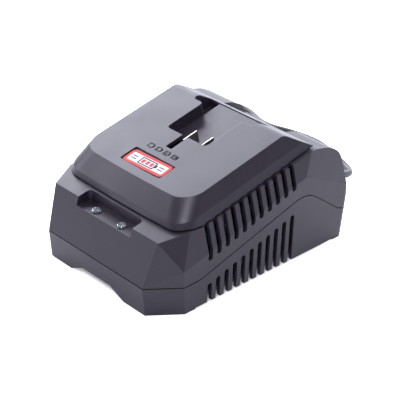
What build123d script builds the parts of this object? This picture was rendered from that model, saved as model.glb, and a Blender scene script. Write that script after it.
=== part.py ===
"""Power tool battery charger: a two-part case with a sloping battery dock on top.

Millimetres, +Z up, front towards -Y, X to the right as seen from the front.
Distances called "behind the front" are measured from the foot line of the front wall,
and back() turns them into Y. What is made on +X is mirrored onto -X, unless a comment
says otherwise.
"""
from functools import cache
from math import atan, cos, hypot, pi, radians, sin, tan
import os

from build123d import *

# ---- case, plan at the foot line -------------------------------------------------
side_half_width = 59.5
front_half_width = side_half_width - 14.5
corner_cut_depth = 18.5       # how far back the cut front corners reach
case_depth = 154.0
rear_corner_radius = 5.0
side_draft = 0.042            # outward, per mm of height
front_draft = 0.0755
corner_cut_draft = 0.057
rear_draft = 0.095
wall = 2.4

# ---- case, heights and facets ----------------------------------------------------
seam_front_height = 19.35
ledge_front_back = 8.2        # front edge of the ledge, behind the front
ledge_front_height = 48.0
ledge_front_inset = 11.2      # ends of that edge, in from the side wall's foot line
ledge_slope = 0.2
ledge_rear_back = 26.0
ledge_rear_inset = 3.5
deck_start_back = 36.0
deck_slope = 0.2227
deck_end_back = case_depth - 28.5
shoulder_back = case_depth - 5.0
shoulder_height = 62.3
crown_back = case_depth - 16.0
crown_height = shoulder_height + 5.9
crown_radius = 12.0
rear_top_back = case_depth - 3.2
rear_top_height = shoulder_height - 8.3
apex_height = 30.5            # where the corner facets, the side wall and the fold meet
fold_rise = 0.27              # of the line where the side wall starts to lean in, per mm
rear_facet_low = ((case_depth - 38.5, 56.9), (case_depth - 4.0, 40.4))
rear_facet_top = (case_depth - 32.3, 72.6)
rear_facet_lean = 3.95
dip_half_width = 28.0         # shallow dip between the rear shoulders
dip_front_back = case_depth - 35.0
dip_depth = 4.5
sky = 160.0                   # higher than every piece
front_offset = (case_depth + (rear_draft - front_draft) * seam_front_height) / 2
front_rise = ledge_front_height - seam_front_height
front_lean = (ledge_front_back + front_draft * seam_front_height) / front_rise

# ---- seam between the two case halves --------------------------------------------
seam_gap = 0.7
seam_knees = ((29.4, 19.5), (case_depth - 36.74, 46.14), (case_depth - 5.1, 21.5))
seam_radii = (27.0, 20.0, 16.0)
tongue_width = 1.0
tongue_height = 2.2
tongue_clearance = 0.12

# ---- base ------------------------------------------------------------------------
foot_gap = 0.4                # the case stops this far above the bench
side_arch = 0.75
side_arch_start = 27.0
side_arch_end = case_depth - 10.0
front_arch_height = 6.3
front_arch_half_width = 13.0
front_arch_foot_half_width = 26.0
floor_underside = 7.0
floor_thickness = 2.5
floor_top = floor_underside + floor_thickness
foot_diameter = 11.0
foot_thickness = 2.2
foot_places = ((side_half_width - 12.0, 25.0), (side_half_width - 10.5, case_depth - 11.0))
keyhole_spacing = 70.0
keyhole_back = 84.0
keyhole_head = 9.0
keyhole_neck = 4.6
keyhole_travel = 9.0

# ---- cooling slots ---------------------------------------------------------------
slot_count = 11
slot_pitch = 6.74
slot_first_back = 37.8
slot_width = 3.5
lower_slot_top = 12.2
lower_slot_step = 2.03        # each slot ends this much higher than the one in front
upper_slot_bottom = 31.9
upper_slot_step = 2.12
slot_cut_depth = 9.0

# ---- lamp recess and lamps -------------------------------------------------------
recess_half_width = 25.4
recess_back = 17.4
recess_floor_height = 42.5
recess_corner_radius = 3.0
lamp_spacing = 24.0
lamp_back = 11.1
lamp_diameter = 6.3
lamp_rise = 1.0
lamp_body_depth = 5.4
lamp_hole_clearance = 0.15
bezel_diameter = 7.8
bezel_height = 0.35
lamp_flange_diameter = 7.6
lamp_flange_thickness = 1.0
lamp_board_width = 42.0
lamp_board_length = 8.4
lamp_board_drop = 4.5
lamp_board_thickness = 1.6
lamp_board_gap = 0.35         # between the board and the front wall
lamp_post_spacing = 37.0
lamp_post_diameter = 4.4
lamp_stake_diameter = 2.2
diode_size = (3.4, 3.0)
diode_corner_radius = 0.4

# ---- battery dock ----------------------------------------------------------------
dock_half_width = side_half_width - 10.35
dock_front_back = 29.1
dock_rise = 18.45             # front edge of the dock's top above the ledge's front edge
dock_front_height = ledge_front_height + dock_rise
dock_tilt = 12.5
dock_front_bow = 1.05         # the middle of the front edge stands this far ahead of its ends
dock_corner_radius = 14.0
dock_crease_depth = 9.4
dock_crease_flare = 4.7
dock_crease_front_flare = 11.6
dock_lip_depth = 17.0
dock_lip_flare = 7.2
dock_lip_front_flare = 15.2
dock_lip_corner_radius = 12.0
dock_length = case_depth - 44.0
dock_lift = 0.9               # shadow gap between the dock's lip and the case
dock_wall = 2.6
dock_top_thickness = 2.6
dock_tail_back = case_depth - 46.5
dock_tail_slope = 0.58
dock_tail_radius = 7.0
dock_tail_end = case_depth - 25.5
dock_boss_places = ((dock_half_width - 7.15, 46.0), (dock_half_width - 7.15, 98.0))
dock_boss_diameter = 8.0
dock_screw_diameter = 3.0
dock_screw_length = 10.0

# ---- battery pocket --------------------------------------------------------------
pocket_half_width = 17.85
pocket_front_back = 72.75
pocket_depth = 8.6            # its floor is parallel to the table
pocket_shell = 2.2
pocket_wing_half_width = 27.0
pocket_wing_back = dock_tail_back - 4.5
pocket_corner_radius = 2.5
pit_depth = 13.2              # of the deeper pit in each wing
sill_width = 0.8              # groove across the pocket's rear end
sill_depth = 1.0
channel_left = -3.2
channel_right = 1.9
channel_front_back = 59.0
channel_depth = 6.5

# ---- name plate and marks on the dock --------------------------------------------
plate_recess_half_width = 18.3
plate_recess_front = 35.2
plate_recess_rear = 48.5
plate_recess_depth = 0.9
plate_thickness = 0.5
plate_margin = 1.0
plate_turn = 2.2
plate_corner_cut = 3.4
mark_back = 54.5
mark_places = (-11.2, -4.1, 3.0, 10.1)
mark_width = 4.6
mark_length = 3.8
mark_nub = 0.8
mark_line = 0.55
mark_bar_pitch = 1.15
mark_depth = 0.5

# ---- terminals -------------------------------------------------------------------
blade_thickness = 0.8
blade_drop = 0.3              # blade tips below the dock's top
blade_places = ((0.6, 69.9, 81.0), (14.2, 72.9, 82.0))
blade_root_back = 63.5
blade_neck_height = 3.0
blade_neck_lift = 0.4
blade_hook = 3.0
blade_slot_clearance = 0.15
terminal_block_left = -6.0
terminal_block_right = 20.0
terminal_block_front = 61.0
terminal_block_cover = 6.9    # its top lies this far under the table
lead_hole_length = 17.0
lead_diameter = 2.2
lead_back = 66.0

# ---- circuit board and what it carries -------------------------------------------
board_half_width = side_half_width - 20.5
board_front = 32.0
board_rear = case_depth - 32.0
board_length = board_rear - board_front
board_thickness = 1.6
board_lift = 4.5
board_post_diameter = 6.0
board_post_inset = 5.0
board_bottom = floor_top + board_lift
board_top = board_bottom + board_thickness
board_screw_diameter = 2.6
core_place = (-14.0, 55.0)
core_size = (36.0, 14.0, 30.0)
core_leg = 11.0
core_window = 6.5
core_yoke = 4.0
winding_growth = 6.0
bulk_capacitor_place = (board_half_width - 17.0, board_front + 12.5)
bulk_capacitor_diameter = 22.0
bulk_capacitor_height = 30.0
output_capacitor_x = 13.0 - board_half_width
output_capacitor_backs = (board_rear - 36.0, board_rear - 23.0, board_rear - 10.0)
output_capacitor_diameter = 10.0
output_capacitor_height = 20.0
choke_x = -4.0
choke_diameter = 18.0
choke_bore = 10.0
choke_height = 8.0
choke_winding = 1.3
sink_place = (board_half_width - 17.0, board_rear - 30.0)
sink_length = 40.0
sink_plate = 3.0
sink_height = 28.0
sink_fin_count = 5
sink_fin_depth = 8.0
sink_fin_thickness = 1.6
transistor_spacing = 18.0
transistor_lift = 8.0
transistor_tab = (1.3, 10.0, 16.0)
transistor_body = (4.5, 10.0, 9.0)
transistor_leg = (0.6, 0.9, 8.0)
transistor_leg_reach = 2.4
leg_pitch = 2.54
fuse_place = (-3.0, board_rear - 13.0)
fuse_diameter = 5.0
fuse_length = 20.0
fuse_clip_width = 5.0
fuse_clip_inset = 3.0
fuse_clip_wall = 0.6
fuse_lift = 1.2
rectifier_place = (13.0, board_rear - 6.5)
rectifier_size = (15.0, 4.4, 12.0)
rectifier_corner = 2.5
chip_place = (-12.0, 40.0)
chip_size = (10.0, 4.0, 1.6)
chip_pin_size = (0.5, 1.2, 0.5)
chip_pin_pitch = 1.27
chip_row_spacing = 5.0
chip_row_pins = 7

# ---- screws ----------------------------------------------------------------------
case_screw_places = ((side_half_width - 25.5, 23.0), (side_half_width - 14.5, case_depth - 22.5))
case_post_diameter = 9.0
case_post_joint = 17.0
case_screw_diameter = 3.0
case_screw_head_height = 2.2
case_screw_length = 18.0
head_ratio = 1.9              # screw head diameter over shank diameter
screw_clearance = 0.05
press_clearance = 0.02
screw_bite = 4.0              # of the short screws, past what they hold
small_head_height = 1.6
dock_head_height = 2.0
drive_width = 0.7             # of the cross in a screw head
drive_reach = 1.2             # of its arms, times the shank's diameter
drive_depth = 0.45            # times the head's height

# ---- fan -------------------------------------------------------------------------
fan_size = 40.0
fan_depth = 10.0
fan_bore = 38.4
fan_tip_clearance = 0.6
fan_hub_diameter = 20.0
fan_back = 90.0
fan_side_gap = 16.0           # inner face of the fan, in from the side wall's foot line
fan_blade_count = 7
fan_blade_thickness = 1.2
fan_blade_pitch = 35.0
fan_blade_chord = 8.5
fan_cup_wall = 1.4
fan_cup_length = 7.0
fan_shaft_diameter = 2.0
fan_running_clearance = 0.06
fan_sleeve_diameter = 5.0
fan_strut_thickness = 1.2
fan_strut_width = 3.0
fan_hole_spacing = 32.0
fan_hole_diameter = 3.4
fan_rib_thickness = 1.6
fan_rib_height = 6.0

# ---- mains lead ------------------------------------------------------------------
cord_diameter = 5.0
cord_exit_x = 18.0
cord_exit_height = 14.0
relief_length = 27.0
relief_root_diameter = 11.0
relief_tip_diameter = 6.6
relief_neck_diameter = 8.2
relief_flange_diameter = 8.9
relief_flange_thickness = 2.0
relief_clearance = 0.1
relief_ring_count = 7
relief_ring_pitch = 3.2
relief_ring_gap = 1.2
relief_core_growth = 0.16     # of the core's radius from each ring to the one before it
rear_wall_back = case_depth + rear_draft * cord_exit_height
relief_tip_back = rear_wall_back + relief_length
clamp_inset = 16.0
clamp_post_spacing = 15.0
clamp_post_diameter = 6.0
clamp_bar_thickness = 2.5
clamp_bar_width = 7.0
inner_lead_length = 28.0
conductor_diameter = 2.0
conductor_spacing = 2.2
conductor_bend = 1.6
conductor_lift = 4.5          # of its arch over the board's edge
conductor_reach = 2.3         # of that arch, to either side of the edge
cord_route = (                # X, distance behind the front, Z
    (cord_exit_x, relief_tip_back, cord_exit_height),
    (18.3, 200.5, 10.2),
    (9.0, 217.0, 2.9),
    (-12.0, 224.5, 2.6),
    (-34.0, 232.3, 2.6),
    (-58.0, 230.2, 2.6),
    (-84.0, 221.5, 2.6),
    (-111.0, 232.8, 2.6),
    (-138.5, 223.5, 2.6),
    (-155.5, 200.0, 2.6),
    (-148.0, 172.5, 2.6),
    (-122.0, 164.5, 2.6),
)
hank_centre = (-98.0, 188.0)
hank_straight = 40.0
hank_bend_radius = 20.0       # of the middle of the bundle
hank_bundle_width = 15.0
hank_bundle_height = 13.6
hank_edge = 3.5
hank_lift = 0.8               # the bundle lies on its tie
tie_width = 4.0
tie_thickness = 0.7
tail_route = (
    (-77.0, 165.5, 2.6),
    (-62.0, 165.8, 2.6),
    (-48.0, 170.0, 3.9),
    (-36.0, 173.4, 7.5),
)
plug_turn = 15.0              # of the plug's axis from +X towards +Y
plug_length = 25.0
plug_width = 20.0
plug_thickness = 14.8
plug_neck_length = 8.0
plug_neck_wall = 0.9
plug_root_width = 12.4
plug_root_thickness = 11.8
plug_corner_radius = 3.5
plug_edge = 3.0
pin_spacing = 12.7
pin_width = 6.35
pin_thickness = 1.5
pin_length = 16.5
pin_corner_radius = 0.6
pin_root = 4.0


def back(distance):
    """Y of a place that lies a distance behind the front foot line."""
    return distance - front_offset


def place(point):
    """A point given by X, distance behind the front, and Z, as a vector."""
    return Vector(point[0], back(point[1]), point[2])


def mirrored(places):
    """Places given by X and distance behind the front, with their mirror images."""
    return [(side * x, back(distance)) for x, distance in places for side in (1, -1)]


def side_x(height):
    """X of the side wall's outer face, below the fold."""
    return side_half_width + side_draft * height


def front_wall_back(height):
    """Distance of the front wall's outer face behind the front foot line, above the seam."""
    return ledge_front_back - front_lean * (ledge_front_height - height)


def case_top(distance):
    """Height of the case's top under the dock: ledge, level step, sloping deck."""
    ledge_rear_height = ledge_front_height + (ledge_rear_back - ledge_front_back) * ledge_slope
    if distance < ledge_rear_back:
        return ledge_front_height + (distance - ledge_front_back) * ledge_slope
    if distance < deck_start_back:
        return ledge_rear_height
    return ledge_rear_height + (distance - deck_start_back) * deck_slope


def table_top(distance):
    """Height of the dock's top face."""
    return dock_front_height + (distance - dock_front_back) * tan(radians(dock_tilt))


def table_v(distance):
    """Distance up the dock's top face from its front edge."""
    return (distance - dock_front_back) / cos(radians(dock_tilt))


table_plane = Plane(
    origin=(0, back(dock_front_back), dock_front_height),
    x_dir=(1, 0, 0),
    z_dir=(0, -sin(radians(dock_tilt)), cos(radians(dock_tilt))),
)


def table_section(x):
    """Plane across X with its axes up the table and away from it, from the table's front edge."""
    tilt = radians(dock_tilt)
    origin = (x, back(dock_front_back), dock_front_height)
    return Plane(origin=origin, x_dir=(0, cos(tilt), sin(tilt)), z_dir=(1, 0, 0))


# ---- the closed form of the whole case -------------------------------------------
def trim_facet(points, inset):
    """Cut off what lies outside the plane through three points, and its mirror image."""
    a, b, c = (place(point) for point in points)
    normal = (b - a).cross(c - a).normalized()
    if normal.X < 0:
        normal = normal * -1
    origin = a - normal * inset
    for side in (1, -1):
        facet = Plane(
            origin=(side * origin.X, origin.Y, origin.Z),
            z_dir=(side * normal.X, normal.Y, normal.Z),
        )
        split(bisect_by=facet, keep=Keep.BOTTOM)


def plan_outline(height, inset):
    """Plan of the case at a height: cut front corners, rounded rear corners."""
    side = side_x(height)
    front = back(-front_draft * height)
    cut_end = back(corner_cut_depth - corner_cut_draft * height)
    rear = back(case_depth + rear_draft * height)
    with BuildSketch(Plane.XY.offset(height)) as outline:
        with BuildLine():
            Polyline(
                (-front_half_width, front),
                (front_half_width, front),
                (side, cut_end),
                (side, rear),
                (-side, rear),
                (-side, cut_end),
                close=True,
            )
        make_face()
        fillet(outline.vertices().group_by(Axis.Y)[-1], rear_corner_radius)
        if inset > 0:
            offset(amount=-inset, kind=Kind.INTERSECTION)
    return outline.sketch


def side_profile(inset):
    """Side view of the case: leaning front, ledge, sloping deck, rounded rear shoulder."""
    with BuildSketch(Plane.YZ) as profile:
        with BuildLine():
            Polyline(
                (back(0), 0),
                (back(-front_draft * seam_front_height), seam_front_height),
                (back(ledge_front_back), ledge_front_height),
                (back(ledge_rear_back), case_top(ledge_rear_back)),
                (back(deck_start_back), case_top(deck_start_back)),
                (back(deck_end_back), case_top(deck_end_back)),
                (back(crown_back), crown_height),
                (back(shoulder_back), shoulder_height),
                (back(rear_top_back), rear_top_height),
                (back(case_depth + rear_draft * seam_front_height), seam_front_height),
                (back(case_depth), 0),
                close=True,
            )
        make_face()
        if inset > 0:
            offset(amount=-inset, kind=Kind.INTERSECTION)
        fillet(profile.vertices().sort_by(Axis.Y)[-4:], crown_radius - inset)
    return profile.sketch


@cache
def case_form(inset):
    """The closed form of the whole case, with every face moved in by the inset."""
    form_top = rear_facet_top[1] + 10
    apex_back = corner_cut_depth - corner_cut_draft * apex_height
    apex = (side_x(apex_height), apex_back, apex_height)
    fold_end = apex_height + fold_rise * (deck_end_back - apex_back)
    fold_rear = (side_x(fold_end), deck_end_back, fold_end)
    seam_corner = (front_half_width, -front_draft * seam_front_height, seam_front_height)
    ledge_corner = (side_half_width - ledge_front_inset, ledge_front_back, ledge_front_height)
    ledge_x = side_half_width - ledge_rear_inset
    ledge_shoulder = (ledge_x, ledge_rear_back, case_top(ledge_rear_back))
    low_front, low_rear = (
        (side_x(height), distance, height) for distance, height in rear_facet_low
    )
    top_x = side_x(rear_facet_top[1]) - rear_facet_lean
    with BuildPart() as form:
        add(plan_outline(0, inset))
        add(plan_outline(form_top, inset))
        loft(ruled=True)
        add(side_profile(inset))
        extrude(amount=side_half_width + 20, dir=(1, 0, 0), both=True, mode=Mode.INTERSECT)
        trim_facet((apex, fold_rear, ledge_shoulder), inset)
        trim_facet((ledge_corner, ledge_shoulder, apex), inset)
        trim_facet((seam_corner, apex, ledge_corner), inset)
        trim_facet((low_front, low_rear, (top_x, *rear_facet_top)), inset)
    return form.part


@cache
def below_seam(shift):
    """The space below the seam between the case halves, with the seam raised by a shift."""
    start = (back(-20), seam_front_height + shift)
    knees = [(back(distance), height + shift) for distance, height in seam_knees]
    end = (back(case_depth + 20), seam_knees[-1][1] + shift)
    with BuildPart() as space:
        with BuildSketch(Plane.YZ):
            with BuildLine():
                FilletPolyline(start, *knees, end, radius=list(seam_radii))
                Polyline(end, (end[0], -5), (start[0], -5), start)
            make_face()
        extrude(amount=side_half_width + 20, both=True)
    return space.part


@cache
def above_case(lift):
    """The space above the case's top line, raised by a lift."""
    stations = (-20.0, ledge_rear_back, deck_start_back, case_depth + 20)
    line = [(back(distance), case_top(distance) + lift) for distance in stations]
    with BuildPart() as space:
        with BuildSketch(Plane.YZ):
            with BuildLine():
                Polyline(*line, (line[-1][0], sky), (line[0][0], sky), close=True)
            make_face()
        extrude(amount=side_half_width + 20, both=True)
    return space.part


def slot_row(end_height, step, far_height):
    """Slots through both side walls: a round end, stepping up to the rear, and an open far end."""
    outer = side_half_width + 4
    for plane in (Plane.YZ.offset(outer - slot_cut_depth), Plane.YZ.offset(-outer)):
        with BuildSketch(plane) as row:
            for number in range(slot_count):
                y = back(slot_first_back + number * slot_pitch)
                end = end_height + number * step
                with Locations((y, (end + far_height) / 2)):
                    Rectangle(slot_width, abs(far_height - end))
                with Locations((y, end)):
                    Circle(slot_width / 2)
        extrude(row.sketch, amount=slot_cut_depth, mode=Mode.SUBTRACT)


# ---- lower housing: floor, skirt, posts and the lower row of slots ----------------
with BuildPart() as floor_space:
    add(case_form(wall))
    with BuildSketch(Plane.XY):
        Rectangle(300, 300)
    extrude(amount=floor_top, mode=Mode.SUBTRACT)

with BuildPart() as under_floor:
    add(plan_outline(-1, wall))
    add(plan_outline(floor_underside, wall))
    loft(ruled=True)

with BuildPart() as tongue:
    add(case_form(wall - tongue_width))
    add(case_form(wall), mode=Mode.SUBTRACT)
    add(below_seam(tongue_height), mode=Mode.INTERSECT)
    add(below_seam(-2 * tongue_height), mode=Mode.SUBTRACT)

board_post_places = [
    (side * (board_half_width - board_post_inset), back(distance))
    for side in (1, -1)
    for distance in (board_front + board_post_inset, board_rear - board_post_inset)
]
clamp_y = back(rear_wall_back - clamp_inset)
cord_top = cord_exit_height + cord_diameter / 2
fan_x = side_half_width - fan_side_gap
fan_z = floor_top + fan_size / 2

with BuildPart() as lower_housing:
    add(case_form(0))
    add(below_seam(-seam_gap / 2), mode=Mode.INTERSECT)
    add(floor_space.part, mode=Mode.SUBTRACT)
    add(under_floor.part, mode=Mode.SUBTRACT)
    add(tongue.part)
    with BuildSketch(Plane.XY):
        Rectangle(300, 300)
    extrude(amount=foot_gap, mode=Mode.SUBTRACT)
    with BuildSketch(Plane.YZ):
        with Locations((back((side_arch_start + side_arch_end) / 2), 0)):
            Rectangle(side_arch_end - side_arch_start, 2 * (foot_gap + side_arch))
    extrude(amount=side_half_width + 20, both=True, mode=Mode.SUBTRACT)
    with BuildSketch(Plane.XZ.offset(front_offset + 2)):
        with BuildLine():
            Polyline(
                (-front_arch_foot_half_width, 0),
                (-front_arch_half_width, front_arch_height),
                (front_arch_half_width, front_arch_height),
                (front_arch_foot_half_width, 0),
                close=True,
            )
        make_face()
    extrude(amount=-(wall + 3), mode=Mode.SUBTRACT)
    # posts for the case screws, the circuit board and the cord clamp; pads above the feet
    with BuildSketch(Plane.XY.offset(floor_top)):
        with Locations(mirrored(case_screw_places)):
            Circle(case_post_diameter / 2)
    extrude(amount=case_post_joint - floor_top)
    with BuildSketch(Plane.XY.offset(floor_top)):
        with Locations(board_post_places):
            Circle(board_post_diameter / 2)
    extrude(amount=board_lift)
    with BuildSketch(Plane.XY.offset(floor_top)):
        with Locations((cord_exit_x, clamp_y)):
            with GridLocations(clamp_post_spacing, 0, 2, 1):
                Circle(clamp_post_diameter / 2)
    extrude(amount=cord_top - floor_top)
    with BuildSketch(Plane.XY.offset(floor_top)):
        with Locations((cord_exit_x, clamp_y)):
            Rectangle(clamp_post_spacing, clamp_bar_width)
    extrude(amount=cord_exit_height - cord_diameter / 2 - floor_top)
    with BuildSketch(Plane.XY.offset(foot_thickness)):
        with Locations(mirrored(foot_places)):
            Circle(foot_diameter / 2 + 1)
    extrude(amount=floor_underside - foot_thickness)
    # cradle ribs in front of and behind the fan
    with BuildSketch(Plane.XY.offset(floor_top)):
        for side in (1, -1):
            y = back(fan_back) + side * (fan_size / 2 + fan_rib_thickness / 2 + screw_clearance)
            with Locations((fan_x + fan_depth / 2, y)):
                Rectangle(fan_depth, fan_rib_thickness)
    extrude(amount=fan_rib_height)
    # holes: case screws with counterbored heads, board screws, clamp screws
    with Locations(*[(x, y, floor_underside) for x, y in mirrored(case_screw_places)]):
        Cylinder(
            case_screw_diameter * head_ratio / 2 + 0.3,
            floor_thickness + 1,
            align=(Align.CENTER, Align.CENTER, Align.MIN),
            mode=Mode.SUBTRACT,
        )
        Cylinder(
            case_screw_diameter / 2 + 0.2,
            case_post_joint - floor_underside + 1,
            align=(Align.CENTER, Align.CENTER, Align.MIN),
            mode=Mode.SUBTRACT,
        )
    with Locations(*[(x, y, board_bottom) for x, y in board_post_places]):
        Cylinder(
            board_screw_diameter / 2 + screw_clearance,
            6,
            align=(Align.CENTER, Align.CENTER, Align.MAX),
            mode=Mode.SUBTRACT,
        )
    with Locations((cord_exit_x, clamp_y, cord_top)):
        with GridLocations(clamp_post_spacing, 0, 2, 1):
            Cylinder(
                board_screw_diameter / 2 + screw_clearance,
                6,
                align=(Align.CENTER, Align.CENTER, Align.MAX),
                mode=Mode.SUBTRACT,
            )
    # keyholes for hanging the charger on a wall
    for side in (1, -1):
        keyhole_y = back(keyhole_back)
        with BuildSketch(Plane.XY.offset(floor_underside)):
            with Locations((side * keyhole_spacing / 2, keyhole_y)):
                Circle(keyhole_head / 2)
            with Locations((side * keyhole_spacing / 2, keyhole_y + keyhole_travel / 2)):
                Rectangle(keyhole_neck, keyhole_travel)
            with Locations((side * keyhole_spacing / 2, keyhole_y + keyhole_travel)):
                Circle(keyhole_neck / 2)
        extrude(amount=floor_thickness, mode=Mode.SUBTRACT)
    slot_row(lower_slot_top, lower_slot_step, -slot_width)
    with BuildSketch(Plane.XZ.offset(-back(rear_wall_back - 2 * wall))):
        with Locations((cord_exit_x, cord_exit_height)):
            Circle(relief_neck_diameter / 2 + relief_clearance)
    extrude(amount=-4 * wall, mode=Mode.SUBTRACT)

# ---- rubber feet, pressed under the pads ------------------------------------------
with BuildPart() as rubber_feet:
    with BuildSketch(Plane.XY):
        with Locations(mirrored(foot_places)):
            Circle(foot_diameter / 2)
    extrude(amount=foot_thickness)
    fillet(rubber_feet.edges().group_by(Axis.Z)[0], 0.6)

# ---- upper housing: ledge, lamp recess, deck and the upper row of slots ------------
with BuildPart() as tongue_groove:
    add(case_form(wall - tongue_width - tongue_clearance))
    add(below_seam(tongue_height + 0.4), mode=Mode.INTERSECT)

with BuildPart() as recess_pan:
    with BuildSketch(Plane.XY.offset(recess_floor_height - wall)):
        with BuildLine():
            front_y = back(-10)
            rear_y = back(recess_back + wall)
            half = recess_half_width + wall
            Polyline((-half, front_y), (half, front_y), (half, rear_y), (-half, rear_y), close=True)
        make_face()
    extrude(amount=30)
    add(case_form(0), mode=Mode.INTERSECT)

with BuildPart() as recess_space:
    with BuildSketch(Plane.XY.offset(recess_floor_height)) as recess_plan:
        with BuildLine():
            front_y = back(-10)
            rear_y = back(recess_back)
            half = recess_half_width
            Polyline((-half, front_y), (half, front_y), (half, rear_y), (-half, rear_y), close=True)
        make_face()
        fillet(recess_plan.vertices().group_by(Axis.Y)[-1], recess_corner_radius)
    extrude(amount=30)

with BuildPart() as case_bosses:
    with BuildSketch(Plane.XY.offset(case_post_joint)):
        with Locations(mirrored(case_screw_places)):
            Circle(case_post_diameter / 2)
    extrude(amount=80)
    add(case_form(wall / 2), mode=Mode.INTERSECT)

with BuildPart() as dip_pan:
    with BuildSketch(Plane.XY.offset(recess_floor_height)):
        with Locations((0, back((dip_front_back + case_depth) / 2))):
            Rectangle(2 * (dip_half_width + wall), case_depth - dip_front_back + 2 * wall)
    extrude(amount=60)
    add(case_form(0), mode=Mode.INTERSECT)
    add(case_form(wall).moved(Location((0, 0, -dip_depth))), mode=Mode.SUBTRACT)

with BuildPart() as dip_space:
    with BuildSketch(Plane.XY.offset(recess_floor_height)):
        with Locations((0, back((dip_front_back + case_depth) / 2 + 10))):
            Rectangle(2 * dip_half_width, case_depth - dip_front_back + 20)
    extrude(amount=60)
    add(case_form(0).moved(Location((0, 0, -dip_depth))), mode=Mode.SUBTRACT)

lamp_places = [(side * lamp_spacing / 2, back(lamp_back)) for side in (1, -1)]
lamp_post_places = [(side * lamp_post_spacing / 2, back(lamp_back)) for side in (1, -1)]
lamp_board_top = recess_floor_height - wall - lamp_board_drop

with BuildPart() as upper_housing:
    add(case_form(0))
    add(below_seam(seam_gap / 2), mode=Mode.SUBTRACT)
    add(case_form(wall), mode=Mode.SUBTRACT)
    add(tongue_groove.part, mode=Mode.SUBTRACT)
    add(recess_pan.part)
    add(case_bosses.part)
    add(dip_pan.part)
    with BuildSketch(Plane.XY.offset(lamp_board_top)):
        with Locations(lamp_post_places):
            Circle(lamp_post_diameter / 2)
    extrude(amount=lamp_board_drop)
    with BuildSketch(Plane.XY.offset(lamp_board_top - lamp_board_thickness - 1)):
        with Locations(lamp_post_places):
            Circle(lamp_stake_diameter / 2)
    extrude(amount=lamp_board_thickness + 2)
    add(recess_space.part, mode=Mode.SUBTRACT)
    add(dip_space.part, mode=Mode.SUBTRACT)
    # through the panel for the lamps, up the posts for the case screws
    with Locations(*[(x, y, recess_floor_height) for x, y in lamp_places]):
        Cylinder(lamp_diameter / 2 + lamp_hole_clearance, 3 * wall, mode=Mode.SUBTRACT)
    with Locations(*[(x, y, recess_floor_height - wall) for x, y in lamp_places]):
        Cylinder(
            lamp_flange_diameter / 2 + lamp_hole_clearance,
            lamp_body_depth,
            align=(Align.CENTER, Align.CENTER, Align.MAX),
            mode=Mode.SUBTRACT,
        )
    with Locations(*[(x, y, case_post_joint) for x, y in mirrored(case_screw_places)]):
        Cylinder(
            case_screw_diameter / 2 + screw_clearance,
            case_screw_length,
            align=(Align.CENTER, Align.CENTER, Align.MIN),
            mode=Mode.SUBTRACT,
        )
    # through the deck for the dock screws and for the contact leads
    with BuildSketch(Plane.XY.offset(recess_floor_height)):
        with Locations(mirrored(dock_boss_places)):
            Circle(dock_screw_diameter / 2 + 0.2)
        with Locations(((terminal_block_left + terminal_block_right) / 2, back(lead_back))):
            SlotOverall(lead_hole_length, lead_diameter * 2)
    extrude(amount=40, mode=Mode.SUBTRACT)
    slot_row(upper_slot_bottom, upper_slot_step, sky)

# ---- battery dock: sloping table, flared skirt, pocket for the battery's stem -------
def dock_outline(depth, flare, front_flare, corner_radius, inset):
    """Outline of the dock in a plane parallel to its table, a depth below it."""
    half = dock_half_width + flare
    rear = dock_length
    side_front = dock_front_bow - front_flare
    with BuildSketch(table_plane.offset(-depth)) as outline:
        with BuildLine():
            Polyline((-half, side_front), (-half, rear), (half, rear), (half, side_front))
            ThreePointArc((half, side_front), (0, -front_flare), (-half, side_front))
        make_face()
        fillet(outline.vertices().group_by(Axis.Y)[0], corner_radius)
        if inset > 0:
            offset(amount=-inset, kind=Kind.INTERSECTION)
    return outline.sketch


@cache
def dock_form(inset, top_inset, lift):
    """The closed form of the dock, its skirt moved in and its top moved down."""
    tail_normal = Vector(0, dock_tail_slope, 1).normalized()
    tail = Vector(0, back(dock_tail_back), table_top(dock_tail_back)) - tail_normal * top_inset
    lip = (dock_lip_depth, dock_lip_flare, dock_lip_front_flare, dock_lip_corner_radius)
    crease_radius = (dock_corner_radius + dock_lip_corner_radius) / 2
    crease = (dock_crease_depth, dock_crease_flare, dock_crease_front_flare, crease_radius)
    with BuildPart() as form:
        add(dock_outline(*lip, inset))
        add(dock_outline(*crease, inset))
        loft(ruled=True)
        add(dock_outline(*crease, inset))
        add(dock_outline(0, 0, 0, dock_corner_radius, inset))
        loft(ruled=True)
        split(bisect_by=Plane(origin=tail, z_dir=tail_normal), keep=Keep.BOTTOM)
        if top_inset == 0:
            fillet(form.edges().filter_by(Axis.X).sort_by(Axis.Z)[-1], dock_tail_radius)
        if top_inset > 0:
            split(bisect_by=table_plane.offset(-top_inset), keep=Keep.BOTTOM)
        end_plane = Plane(origin=(0, back(dock_tail_end - inset), 0), z_dir=(0, 1, 0))
        split(bisect_by=end_plane, keep=Keep.BOTTOM)
        add(above_case(lift), mode=Mode.INTERSECT)
    return form.part


tail_fall = tan(radians(dock_tilt) + atan(dock_tail_slope))
pocket_end = table_v(dock_tail_back) + pocket_depth / tail_fall


def pocket_plan(growth):
    """Plan of the pocket, on the table: a channel that widens into two wings."""
    front = table_v(pocket_front_back) - growth
    wing_front = table_v(pocket_wing_back) - growth
    narrow = pocket_half_width + growth
    wide = pocket_wing_half_width + growth
    with BuildSketch() as plan:
        with BuildLine():
            Polyline(
                (-narrow, front),
                (narrow, front),
                (narrow, wing_front),
                (wide, wing_front),
                (wide, dock_length),
                (-wide, dock_length),
                (-wide, wing_front),
                (-narrow, wing_front),
                close=True,
            )
        make_face()
        fillet(plan.vertices().group_by(Axis.Y)[0:2], pocket_corner_radius)
    return plan.sketch


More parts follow.
